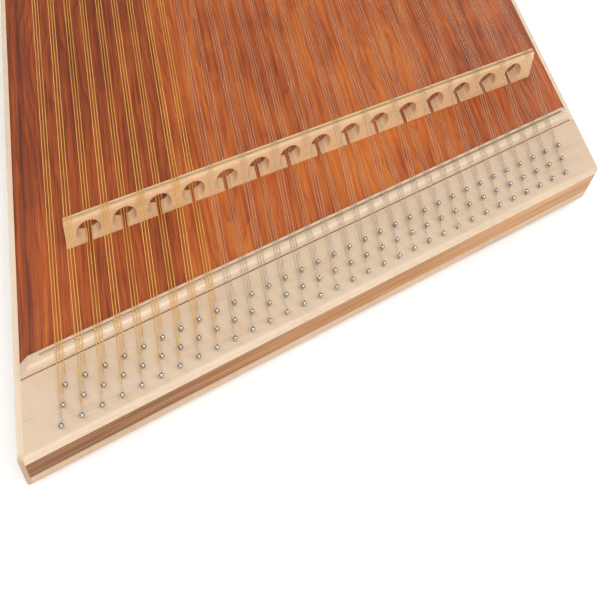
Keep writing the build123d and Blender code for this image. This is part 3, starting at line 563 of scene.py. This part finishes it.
# ---- nuts and bridges ---------------------------------------------------------------------
ROOT = "instrument"
UP = Vector((0, 0, 1))
ACROSS = Vector((-COS, -SIN, 0))
ALONG = Vector((-SIN, COS, 0))
JOINT_GAP = 0.5 * MM
nut_from = Vector((end_x(-INNER_Y, CAP_WIDTH), -INNER_Y, Z_BOARD))
nut_length = 2 * INNER_Y / COS
JOINT_HEIGHT = Z_TOP - Z_BOARD
JOINT_FLOOR = 0.2 * JOINT_HEIGHT
CURVE_STEPS = 16
EASE = 0.5 * MM
OVERRUN = 20 * MM
curve = [
    (
        NUT_WIDTH - NUT_FLAT - (NUT_WIDTH - NUT_FLAT - JOINT_GAP) * math.sin(math.pi / 2 * k / CURVE_STEPS),
        JOINT_HEIGHT + (NUT_HEIGHT - JOINT_HEIGHT) * math.cos(math.pi / 2 * k / CURVE_STEPS),
    )
    for k in range(CURVE_STEPS + 1)
]
nut_profile = [
    (0, 0),
    (NUT_WIDTH, 0),
    (NUT_WIDTH, NUT_HEIGHT - EASE),
    (NUT_WIDTH - 0.3 * EASE, NUT_HEIGHT - 0.3 * EASE),
    (NUT_WIDTH - EASE, NUT_HEIGHT),
    *curve,
    (JOINT_GAP, JOINT_FLOOR),
    (0, JOINT_FLOOR),
]


def nut_cut(side):
    """The sloping plane at one end of the nut: up from the cap's level at the rib."""
    foot = Vector((0, side * INNER_Y, Z_BOARD + JOINT_HEIGHT))
    return foot, Vector((0, side * (NUT_HEIGHT - JOINT_HEIGHT), NUT_BEVEL))


nut_cuts = [(Vector((0, side * INNER_Y, 0)), Vector((0, side, 0))) for side in (-1, 1)]
nut_cuts += [nut_cut(side) for side in (-1, 1)]
nut = swept(nut_profile, nut_from - ALONG * OVERRUN, ALONG, ACROSS, nut_length + 2 * OVERRUN, nut_cuts)
ROD_SIDES, ROD_END = 28, 0.78  # and the radius at its tips, of its own


def rod(start, end, radius):
    """A drawn rod with eased ends."""
    start, end = Vector(start), Vector(end)
    way = (end - start).normalized()
    ease = radius * 0.25
    points, faces = tube([start, start + way * ease, end - way * ease, end], radius, ROD_SIDES)
    for middle, first in ((start, 0), (end, 3 * ROD_SIDES)):
        for k in range(first, first + ROD_SIDES):
            points[k] = middle + (points[k] - middle) * ROD_END
    return points, faces


rod_y = (FIRST_Y - NUT_ROD_OVERRUN, FIRST_Y + COURSE_PITCH * (COURSES - 1) + NUT_ROD_OVERRUN)
NUT_ROD_Z = Z_BOARD + NUT_HEIGHT - NUT_ROD_SINK
nut_rod = rod(*[(end_x(y, NUT_ROD_DEPTH), y, NUT_ROD_Z) for y in rod_y], NUT_ROD_RADIUS)


def paint_recess_shade(made, material, inside):
    """Gives the faces whose middle is inside a narrow recess a second, dark material: painted shade in the
    recess.
    """
    made.data.materials.append(material)
    for face in made.data.polygons:
        if inside(Vector((abs(face.center.x), face.center.y, face.center.z))):
            face.material_index = 1


def in_joint(point):
    """In the groove between the nut and the cap."""
    return (point - nut_from).dot(ACROSS) < 1.05 * JOINT_GAP and point.z > Z_BOARD + 0.15 * JOINT_HEIGHT


for end, shape, wood in (("hitch", lambda p: p, hitch_nut_wood), ("tuning", mirror_x, tuning_nut_wood)):
    made = piece(f"{end}_nut", *shape(nut), wood, ROOT, "maple", [f"{end}_nut_moulding"], sharp=0.35)
    # the groove faces get the glue line with painted shade
    paint_recess_shade(made, joint_glue_and_shade, in_joint)
    piece(f"{end}_nut_steel", *shape(nut_rod), rod_steel, ROOT, "steel_rod", [f"{end}_nut_rod"])

BRIDGE_ROD_Z = Z_BOARD + BRIDGE_HEIGHT - BRIDGE_ROD_SINK
BASS_MARGIN, TREBLE_MARGIN = 1.5 * MM, 6 * MM
ROD_SHORT = 0.2 * MM
BRIDGE_EASE = 0.4 * MM
HOLE_STEPS = 56


def bridge(first, last):
    """A bridge as a slab between two faces; its outline in Y and Z runs round every hole.

    The front face slopes to a wider foot and ends in a chamfer under the top.
    """
    low = string_y(first, 2) - BASS_MARGIN
    high = string_y(last, 0) + TREBLE_MARGIN
    chamfer_z = BRIDGE_HEIGHT - CHAMFER_DROP
    outline = [(low, 0)]
    half_kerf = math.asin(KERF / 2 / HOLE_RADIUS)
    for course in range(first + 1, last, 2):
        middle = string_y(course, 1)
        outline.append((middle - KERF / 2, 0))
        for k in range(HOLE_STEPS + 1):
            a = -math.pi / 2 - half_kerf - (2 * math.pi - 2 * half_kerf) * k / HOLE_STEPS
            outline.append((middle + HOLE_RADIUS * math.cos(a), HOLE_HEIGHT + HOLE_RADIUS * math.sin(a)))
        outline.append((middle + KERF / 2, 0))
    outline += [(high, 0), (high, chamfer_z), (low, chamfer_z)]
    count = len(outline)
    points = []
    for foot, top, rise in ((FRONT_FOOT, CHAMFER_LOW, chamfer_z), (-BACK_FOOT, -BACK_TOP, BRIDGE_HEIGHT)):
        for y, h in outline:
            reach = foot + (top - foot) * h / rise
            points.append(Vector((bridge_x(y) + reach / math.cos(BRIDGE_SLANT), y, Z_BOARD + h)))
    for reach in (CHAMFER_HIGH, -BACK_TOP):
        for y in (high, low):
            points.append(Vector((bridge_x(y) + reach / math.cos(BRIDGE_SLANT), y, Z_BOARD + BRIDGE_HEIGHT)))
    faces = [tuple(range(count)), tuple(reversed(range(count, 2 * count)))]
    sides = [k for k in range(count) if k != count - 2]  # the top edge has the chamfer's faces
    faces += [(k, k + count, (k + 1) % count + count, (k + 1) % count) for k in sides]
    front_high, front_low, back_high, back_low = count - 2, count - 1, 2 * count - 2, 2 * count - 1
    top_high, top_low, rear_high, rear_low = range(2 * count, 2 * count + 4)
    faces += [
        (front_high, front_low, top_low, top_high),
        (top_high, top_low, rear_low, rear_high),
        (rear_high, rear_low, back_low, back_high),
        (front_high, top_high, rear_high, back_high),
        (front_low, back_low, rear_low, top_low),
    ]
    ends = [(bridge_x(y), y, BRIDGE_ROD_Z) for y in (low + ROD_SHORT, high - ROD_SHORT)]
    return (points, faces), rod(*ends, BRIDGE_ROD_RADIUS)


def in_kerf(first, last):
    """A test for a face's middle: in one of the bridge's saw kerfs."""
    middles = [string_y(course, 1) for course in range(first + 1, last, 2)]
    kerf_top = Z_BOARD + HOLE_HEIGHT - 0.9 * HOLE_RADIUS

    def inside(point):
        return point.z < kerf_top and any(abs(abs(point.y - y) - KERF / 2) < 0.1 * MM for y in middles)

    return inside


for end, shape, wood, first in (
    ("hitch", lambda p: p, hitch_bridge_wood, 2),
    ("tuning", mirror_x, tuning_bridge_wood, 1),
):
    last = COURSES - 2 + first
    body, steel = bridge(first, last)
    made = piece(f"{end}_bridge_wood", *shape(body), wood, ROOT, "maple", [f"{end}_bridge"], sharp=0.5)
    # painted shade on the kerf walls
    paint_recess_shade(made, kerf_shade_wood, in_kerf(first, last))
    soften(made, BRIDGE_EASE)
    piece(f"{end}_bridge_steel", *shape(steel), rod_steel, ROOT, "steel_rod", [f"{end}_bridge_rod"])

# ---- hitch pins ---------------------------------------------------------------------------
DOME_STEPS, PIN_SIDES = 9, 24
NECK, RIM = 1.5 * PIN_HEAD, 1.12 * PIN_HEAD  # below the pin's top
pin_profile = [
    (0, -PIN_DEPTH),
    (PIN_SHAFT, 2 * PIN_SHAFT - PIN_DEPTH),
    (PIN_SHAFT, PIN_STANDS - NECK),
    (PIN_HEAD * 0.93, PIN_STANDS - RIM),
]
for k in range(DOME_STEPS):
    a = math.pi / 2 * k / DOME_STEPS
    pin_profile.append((PIN_HEAD * math.cos(a), PIN_STANDS - PIN_HEAD + PIN_HEAD * math.sin(a)))
pin_profile.append((0, PIN_STANDS))
hitch_pin = lathe(pin_profile, PIN_SIDES)
ALL_PINS = [(course, row) for course in range(1, COURSES + 1) for row in range(3)]
pins = [moved(hitch_pin, (*hitch_point(*pin), Z_TOP)) for pin in ALL_PINS]
piece("hitch_pin_set", *joined(pins), nickel, ROOT, "nickel", ["hitch_pins"], sharp=0.9)

# ---- tuning pins --------------------------------------------------------------------------
TURN_STEPS, TAPER_STEPS = 32, 4
ROUND = 1  # half of a square so large that only the circle is left
SHOULDER, SHOULDER_SLOPE = 8 * MM, 0.3 * MM
TIP_HALF, SQUARE_HALF = 1.8 * MM, 2.2 * MM
TIP_HIGH, TIP_LOW = 0.15 * MM, 0.5 * MM  # where the tip's edge is eased, below the top
FOOT_EASE = 0.8 * MM


def square_ring(z, half, limit):
    """One ring of the tapered square: a square whose corners a circle takes off."""
    ring = []
    for k in range(TURN_STEPS):
        a = 2 * math.pi * k / TURN_STEPS
        reach = min(limit, half / max(abs(math.cos(a)), abs(math.sin(a))))
        ring.append(Vector((reach * math.cos(a), reach * math.sin(a), z)))
    return ring


def tuning_pin():
    """A tuning pin with its tapered square head, its feet at z = 0 on the cap."""
    rings = [
        square_ring(-TUNING_DEPTH, ROUND, TUNING_RADIUS * 0.68),
        square_ring(-TUNING_DEPTH + FOOT_EASE, ROUND, TUNING_RADIUS),
        square_ring(0, ROUND, TUNING_RADIUS),
        square_ring(SHOULDER - SHOULDER_SLOPE, ROUND, TUNING_RADIUS),
    ]
    taper_from, taper_to = SHOULDER + SHOULDER_SLOPE, TUNING_STANDS - TIP_LOW
    for k in range(TAPER_STEPS + 1):
        share = k / TAPER_STEPS
        half = SQUARE_HALF + (TIP_HALF - SQUARE_HALF) * share
        z = taper_from + (taper_to - taper_from) * share
        rings.append(square_ring(z, half, TUNING_RADIUS * half / SQUARE_HALF))
    rings.append(square_ring(TUNING_STANDS - TIP_HIGH, TIP_HALF * 0.92, TUNING_RADIUS * 0.75))
    rings.append(square_ring(TUNING_STANDS, TIP_HALF * 0.78, TUNING_RADIUS * 0.62))
    points = [p for ring in rings for p in ring]
    last = len(points) - TURN_STEPS
    faces = [tuple(reversed(range(TURN_STEPS))), tuple(last + k for k in range(TURN_STEPS))]
    for i in range(len(rings) - 1):
        for k in range(TURN_STEPS):
            a, b = i * TURN_STEPS + k, i * TURN_STEPS + (k + 1) % TURN_STEPS
            faces.append((a, b, b + TURN_STEPS, a + TURN_STEPS))
    return points, faces


def tuning_point(course, row):
    """X and Y of a tuning pin, beside its string so that the string leaves it at a tangent."""
    x, _ = hitch_point(course, row)
    return -x, string_y(course, row) + TUNING_RADIUS + wire_radius(course)


WRAP_CLEARANCE = 0.05 * MM
WRAP_PITCH = 1.03  # from one turn to the next, of the wire's diameter
TURN_POINTS = 18


def wrap_point(course, row, turns, level):
    """A point of the string round its tuning pin, turns after the tangent and level above the cap."""
    x, y = tuning_point(course, row)
    r = wire_radius(course)
    a = -math.pi / 2 - 2 * math.pi * turns
    reach = TUNING_RADIUS + r + WRAP_CLEARANCE
    return Vector((x + reach * math.cos(a), y + reach * math.sin(a), Z_TOP + level))


FIRST_WRAP, FIRST_CLIMB = 0.94, 0.9  # of a turn, and of the pitch over that
COIL_LIFT = 1.3  # of the pitch: the coil turned 90 degrees on still clears the first wrap
QUARTER_TURN, CLIMB_STEPS = 0.25, 5
TAIL = 0.9 * MM


def coil(course, row):
    """The wraps above the first one, and the end that goes through the pin's string hole."""
    r = wire_radius(course)
    pitch = 2 * r * WRAP_PITCH
    path = []
    turns = COIL_TURNS - 1 + QUARTER_TURN
    steps = int(turns * TURN_POINTS)
    low = COIL_LOW + r + pitch * COIL_LIFT
    for k in range(steps + 1):
        path.append(wrap_point(course, row, turns * k / steps, low + pitch * turns * k / steps))
    top = low + pitch * turns
    x, y = tuning_point(course, row)
    for k in range(1, CLIMB_STEPS + 1):
        share = k / CLIMB_STEPS
        climb = top + (STRING_HOLE_Z - top) * (share * share * (3 - 2 * share))
        path.append(wrap_point(course, row, turns + 2 * QUARTER_TURN * share, climb))
    inward = Vector((x, y, Z_TOP + STRING_HOLE_Z))
    last = path[-1]
    side = 1 if last.x > x else -1
    path.append(inward + Vector((side * TUNING_RADIUS * 0.98, 0, 0)))
    path.append(inward)
    path.append(inward - Vector((side * (TUNING_RADIUS + TAIL), 0, 0)))
    return tube(path, r, 8)


def by_wire(pins):
    """Name, material, slot and pins of each kind of string."""
    low = [pin for pin in pins if pin[0] <= BRONZE_COURSES]
    high = [pin for pin in pins if pin[0] > BRONZE_COURSES]
    return ("bronze", bronze, "bronze_wire", low), ("steel", string_steel, "steel_wire", high)


WIRE_SHARP, TUNING_SHARP = 1.2, 0.45
pin_shape = tuning_pin()
SET_PINS = [pin for pin in ALL_PINS if pin[0] > TURNING_COURSES]
set_shapes = [moved(pin_shape, (*tuning_point(*pin), Z_TOP)) for pin in SET_PINS]
nodes = ["tuning_pins"]
piece("tuning_pin_set", *joined(set_shapes), tuning_nickel, ROOT, "nickel", nodes, sharp=TUNING_SHARP)
for name, material, slot, chosen in by_wire(SET_PINS):
    shapes = [coil(*pin) for pin in chosen]
    piece(f"{name}_coil_set", *joined(shapes), material, ROOT, slot, [f"{name}_coils"], sharp=WIRE_SHARP)
for course, row in ALL_PINS[: 3 * TURNING_COURSES]:
    place = f"{course}_{ROW_NAMES[row]}"
    body = f"pin_{place}"
    shape = moved(pin_shape, (*tuning_point(course, row), Z_TOP))
    nodes = [f"tuning_pin_{place}"]
    piece(f"turning_pin_{place}", *shape, tuning_nickel, body, "nickel", nodes, sharp=TUNING_SHARP)
    shape = coil(course, row)
    nodes = [f"string_coil_{place}"]
    piece(f"turning_coil_{place}", *shape, bronze, body, "bronze_wire", nodes, sharp=WIRE_SHARP)

# ---- strings ------------------------------------------------------------------------------
LOOP, TWIST, TWIST_LEAD = 9.6 * MM, 6.4 * MM, 1.5 * MM
TWIST_LAY, TWIST_STEPS = 6.4, 9  # one turn's length over the wire's radius, and its points
TWIST_ROOM, EYE_ROOM = 1.02, 1.05  # the wires' distances over their radius, so that they don't touch
EYE_STEPS, EYE_SHARES = 10, (0.25, 0.5, 0.75)
CORE_RADIUS = 0.17 * MM
BEARING_GAP, BEARING_BEND = 0.05 * MM, 1.6 * MM
nut_top = NUT_ROD_Z + NUT_ROD_RADIUS + BEARING_GAP
bridge_top = BRIDGE_ROD_Z + BRIDGE_ROD_RADIUS + BEARING_GAP


def bearing(before, top, after):
    """Points over a rod: the string bends round it instead of breaking at one point."""
    first = top + (before - top).normalized() * BEARING_BEND
    last = top + (after - top).normalized() * BEARING_BEND
    return [first, (first + last) / 2 * 0.4 + top * 0.6 - UP * 0.02 * MM, last]


def loop_end(pin_x, y, direction, radius):
    """The string's end at the hitch pin: its own turns of the twist, and its bare core's way on.

    The core goes round the pin's shaft as an eye and winds back through the twist.
    """
    pin = Vector((pin_x, y, Z_TOP + STRING_END_HEIGHT))
    side = Vector((0, 1, 0))
    up = direction.cross(side)
    if up.z < 0:
        up = -up
    turns = TWIST / (radius * TWIST_LAY)
    steps = int(turns * TWIST_STEPS)
    twist_from = pin - direction * (LOOP + TWIST)
    lead, back = [], []
    for k in range(steps + 1):
        a = 2 * math.pi * turns * k / steps
        centre = twist_from + direction * TWIST * k / steps
        swing = (side * math.cos(a) + up * math.sin(a)) * radius * TWIST_ROOM
        lead.append(centre + swing)
        back.append(centre - swing)
    grip = PIN_SHAFT + radius * EYE_ROOM
    eye = []
    sign = 1 if math.cos(2 * math.pi * turns) >= 0 else -1
    for share in EYE_SHARES:
        spot = pin - direction * LOOP * (1 - share)
        eye.append(spot + side * sign * (radius + (grip - radius) * share))
    for k in range(EYE_STEPS + 1):
        a = math.pi * k / EYE_STEPS
        eye.append(pin + side * sign * grip * math.cos(a) + direction * grip * math.sin(a))
    for share in reversed(EYE_SHARES):
        spot = pin - direction * LOOP * (1 - share)
        eye.append(spot - side * sign * (radius + (grip - radius) * share))
    return lead, [lead[-1]] + eye + list(reversed(back))


def string(course, row):
    """One string, from the wrap on its tuning pin to the loop on its hitch pin."""
    r = wire_radius(course)
    y = string_y(course, row)
    pin_x, _ = hitch_point(course, row)
    nut_x = end_x(y, NUT_ROD_DEPTH)
    carried = bridge_x(y) if course % 2 == 0 else -bridge_x(y)
    steps = int(FIRST_WRAP * TURN_POINTS)
    pitch = 2 * r * WRAP_PITCH
    path = []
    for k in range(steps + 1):
        share = 1 - k / steps
        path.append(wrap_point(course, row, FIRST_WRAP * share, COIL_LOW + r + pitch * FIRST_CLIMB * share))
    tangent = path[-1]
    far_nut = Vector((-nut_x, y, nut_top + r))
    saddle = Vector((carried, y, bridge_top + r))
    near_nut = Vector((nut_x, y, nut_top + r))
    pin = Vector((pin_x, y, Z_TOP + STRING_END_HEIGHT))
    path += bearing(tangent, far_nut, saddle)
    path += bearing(far_nut, saddle, near_nut)
    path += bearing(saddle, near_nut, pin)
    direction = (pin - near_nut).normalized()
    path.append(pin - direction * (LOOP + TWIST + TWIST_LEAD))
    lead, core = loop_end(pin_x, y, direction, r)
    return tube(path + lead, r), tube(core, CORE_RADIUS)


cores = []
for name, material, slot, chosen in by_wire(ALL_PINS):
    shapes = [string(*pin) for pin in chosen]
    cores += [core for _, core in shapes]
    wires = [wire for wire, _ in shapes]
    piece(f"{name}_string_set", *joined(wires), material, ROOT, slot, [f"{name}_strings"], sharp=WIRE_SHARP)
piece("string_loop_set", *joined(cores), core_steel, ROOT, "steel_wire", sharp=WIRE_SHARP)

# ---- floor, light and camera --------------------------------------------------------------
REACH = 6.0
floor_mesh = bpy.data.meshes.new("floor")
floor_corners = [(-REACH, -REACH, 0), (REACH, -REACH, 0), (REACH, REACH, 0), (-REACH, REACH, 0)]
floor_mesh.from_pydata(floor_corners, [], [(0, 1, 2, 3)])
floor = bpy.data.objects.new("floor", floor_mesh)
bpy.context.scene.collection.objects.link(floor)
floor_paint = Graph("floor_paint")
speckle = floor_paint.noise(floor_paint.scaled(floor_paint.point, (30, 30, 30)), detail=3)
paint_colour = floor_paint.mix(speckle, linear(253, 253, 252), linear(255, 255, 254))
floor_mesh.materials.append(floor_paint.finish(paint_colour, floor_paint.spread(speckle, 0, 1, 0.75, 0.85)))


LIT = Vector((0.3, 0.0, 0.05))


def soft_light(name, position, power, width, height, colour=(1, 1, 1)):
    """A rectangular lamp that faces the middle of the seen part of the instrument."""
    lamp = bpy.data.lights.new(name, "AREA")
    lamp.shape = "RECTANGLE"
    lamp.size, lamp.size_y = width, height
    lamp.energy = power
    lamp.color = colour
    made = bpy.data.objects.new(name, lamp)
    made.location = position
    made.rotation_euler = (LIT - Vector(position)).to_track_quat("-Z", "Y").to_euler()
    bpy.context.scene.collection.objects.link(made)


soft_light("top", (1.45, 0.2, 2.35), 33, 1.8, 1.4)
soft_light("key", (1.2, 1.6, 1.9), 20, 2.0, 1.6, (1.0, 0.99, 0.98))
soft_light("front", (2.4, -0.5, 0.95), 17, 2.2, 1.1)
soft_light("left", (0.3, -1.5, 2.25), 14.5, 2.2, 1.6)
soft_light("back_left", (-1.2, -1.75, 0.85), 11, 1.6, 0.35)
soft_light("back_right", (-1.2, 1.75, 0.85), 9, 1.6, 0.35)

world = bpy.data.worlds.new("room")
bpy.context.scene.world = world
world.use_nodes = True
air = world.node_tree.nodes["Background"].inputs
air["Color"].default_value = (0.96, 0.98, 1.0, 1)
air["Strength"].default_value = 0.26

# The camera was solved from the grid of hitch pins and the block's edges.
CAMERA_PLACE = (0.80220, -0.17332, 0.64643)
CAMERA_AXES = (
    (0.19968062, -0.83253799, 0.51672830),
    (0.97547285, 0.11904624, -0.18515050),
    (0.09263026, 0.54102540, 0.83588944),
)
camera_data = bpy.data.cameras.new("camera")
camera_data.sensor_width = 36
camera_data.lens = 52.93
camera_data.shift_x = -0.001
camera_data.clip_start, camera_data.clip_end = 0.01, 50
camera = bpy.data.objects.new("camera", camera_data)
bpy.context.scene.collection.objects.link(camera)
camera.matrix_world = Matrix.Translation(CAMERA_PLACE) @ Matrix(CAMERA_AXES).to_4x4()
bpy.context.scene.camera = camera
bpy.context.scene.view_settings.view_transform = "Standard"
